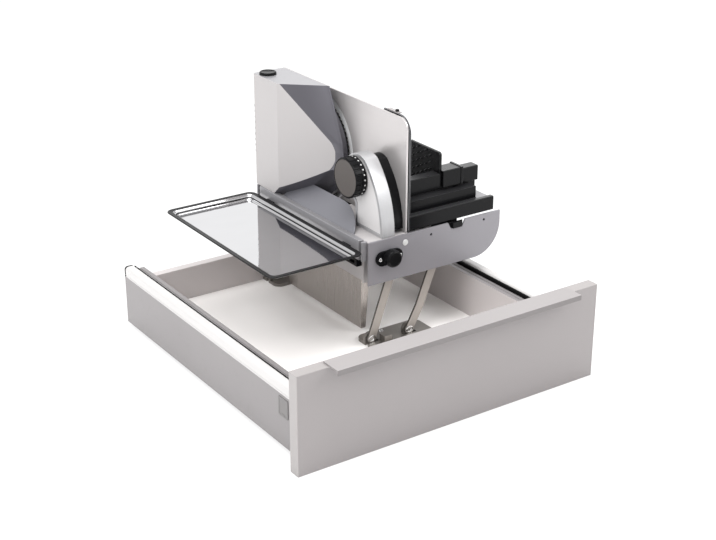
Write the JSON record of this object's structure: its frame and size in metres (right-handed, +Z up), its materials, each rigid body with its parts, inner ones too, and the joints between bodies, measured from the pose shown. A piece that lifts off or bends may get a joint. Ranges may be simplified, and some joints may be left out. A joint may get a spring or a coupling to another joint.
{
  "type": "built-in food slicer",
  "caption": "Kitchen drawer with a food slicer on folding arms: round blade, sliding carriage, thickness fence with a knob, and a slice tray.",
  "frame": {"origin": "on the floor plane under the centre of the whole drawer", "axes": "+X to the right seen from the front, +Y from the front panel to the back, +Z up"},
  "size_m": [0.497, 0.545, 0.373],
  "materials": {
    "front_paint": "satin",
    "trim_aluminium": "satin",
    "wall_paint": "satin",
    "rail_white": "gloss",
    "floor_board": "satin",
    "cap_grey": "matte",
    "linkage_steel": "satin",
    "bright_steel": "polished",
    "silver_paint": "satin",
    "chute_grey": "satin",
    "arch_aluminium": "satin",
    "fence_steel": "satin",
    "black_plastic": "satin",
    "knob_grey": "matte",
    "motor_paint": "satin",
    "bearing_brass": "satin",
    "tray_mirror": "polished"
  },
  "bodies": {
    "drawer": {"front_panel": "front_paint", "grip_strip": "trim_aluminium", "left_wall": "wall_paint", "right_wall": "wall_paint", "left_rail": "rail_white", "right_rail": "rail_white", "cover_caps": "cap_grey", "drawer_floor": "floor_board", "back_panel": "wall_paint", "floor_bracket_front": "linkage_steel", "floor_bracket_rear": "linkage_steel", "bracket_screws": "bright_steel", "foot_pins": "bright_steel"},
    "left_arms": {"left_arm_front": "linkage_steel", "left_arm_rear": "linkage_steel"},
    "right_arms": {"right_arm_front": "linkage_steel", "right_arm_rear": "linkage_steel"},
    "slicer": {"base_body": "silver_paint", "rim_bar": "trim_aluminium", "tray_slot_strip": "black_plastic", "apron": "linkage_steel", "pivot_pins": "bright_steel", "hinge_pins": "bright_steel", "tower_shell": "silver_paint", "gear_plate": "silver_paint", "guard_ring": "chute_grey", "guard_seal": "black_plastic", "cord_inlet": "black_plastic", "chute": "chute_grey", "motor_can": "motor_paint", "shaft_bearings": "bearing_brass", "switch_body": "black_plastic", "fence_arch": "arch_aluminium", "arch_cover": "chute_grey"},
    "tray": {"tray": "tray_mirror", "tray_hooks": "black_plastic"},
    "table": {"side_plate_front": "silver_paint", "side_plate_rear": "silver_paint", "table_pan": "silver_paint", "hinge_flanges": "black_plastic", "flange_screws": "bright_steel", "frame_latch": "black_plastic"},
    "runners": {"carriage_rails": "black_plastic"},
    "carriage": {"carriage_base": "black_plastic", "pusher_rail": "black_plastic", "finger_guard": "black_plastic", "guard_clip": "black_plastic"},
    "pusher": {"pusher_sleeve": "black_plastic", "pusher_plate": "black_plastic"},
    "fence": {"fence_plate": "fence_steel", "fence_slide": "black_plastic"},
    "dial": {"knob": "black_plastic", "knob_face": "knob_grey", "knob_spindle": "bright_steel"},
    "blade": {"blade": "bright_steel", "blade_shaft": "bright_steel", "gear_wheel": "bearing_brass"},
    "worm": {"worm_shaft": "bright_steel"},
    "switch": {"switch_button": "black_plastic"}
  },
  "joints": [
    {"name": "left_arm_swing", "type": "hinge", "parent": "drawer", "child": "left_arms", "pos_m": [0.0155, 0.1045, 0.034], "axis": [0, 1, 0], "range_deg": [0, 22.5]},
    {"name": "slicer_tilt", "type": "hinge", "parent": "left_arms", "child": "slicer", "pos_m": [0.05039, 0.1045, 0.13197], "axis": [0, -1, 0], "range_deg": [0, 112.4]},
    {"name": "right_arm_swing", "type": "hinge", "parent": "drawer", "child": "right_arms", "pos_m": [0.0795, 0.1045, 0.034], "axis": [0, -1, 0], "range_deg": [0, 18.8]},
    {"name": "tray_fold", "type": "hinge", "parent": "slicer", "child": "tray", "pos_m": [0.0025, 0.1045, 0.19], "axis": [0, 1, 0], "range_deg": [0, 90.2]},
    {"name": "table_fold", "type": "hinge", "parent": "slicer", "child": "table", "pos_m": [0.0435, 0.1045, 0.162], "axis": [0, -1, 0], "range_deg": [0, 90]},
    {"name": "carriage_lift", "type": "slide", "parent": "slicer", "child": "runners", "axis": [0, 0, 1], "range_m": [0, 0.3064]},
    {"name": "carriage_slide", "type": "slide", "parent": "runners", "child": "carriage", "axis": [0, 1, 0], "range_m": [0, 0.15]},
    {"name": "pusher_slide", "type": "slide", "parent": "carriage", "child": "pusher", "axis": [1, 0, 0], "range_m": [-0.06, 0.03]},
    {"name": "fence_slide", "type": "slide", "parent": "slicer", "child": "fence", "axis": [-1, 0, 0], "range_m": [0, 0.014]},
    {"name": "knob_turn", "type": "hinge", "parent": "slicer", "child": "dial", "pos_m": [0.0285, 0.0245, 0.266], "axis": [1, 0, 0], "range_deg": [0, 331]},
    {"name": "blade_spin", "type": "hinge", "parent": "slicer", "child": "blade", "pos_m": [0.0705, 0.1795, 0.263], "axis": [1, 0, 0], "continuous": true},
    {"name": "worm_spin", "type": "hinge", "parent": "slicer", "child": "worm", "pos_m": [0.0265, 0.2145, 0.235], "axis": [0, 0, 1], "continuous": true},
    {"name": "switch_press", "type": "slide", "parent": "slicer", "child": "switch", "axis": [0, 0, -1], "range_m": [0, 0.003], "stiffness_N_per_m": 300, "springref_m": -0.002}
  ],
  "couplings": [
    {"joint": "left_arm_swing", "follows": "slicer_tilt", "ratio": 0.19929},
    {"joint": "right_arm_swing", "follows": "slicer_tilt", "ratio": 0.16622},
    {"joint": "tray_fold", "follows": "slicer_tilt", "ratio": 0.80071},
    {"joint": "carriage_lift", "follows": "table_fold", "m_per_rad": 0.195},
    {"joint": "knob_turn", "follows": "fence_slide", "rad_per_m": 411.4},
    {"joint": "worm_spin", "follows": "blade_spin", "ratio": 30}
  ]
}
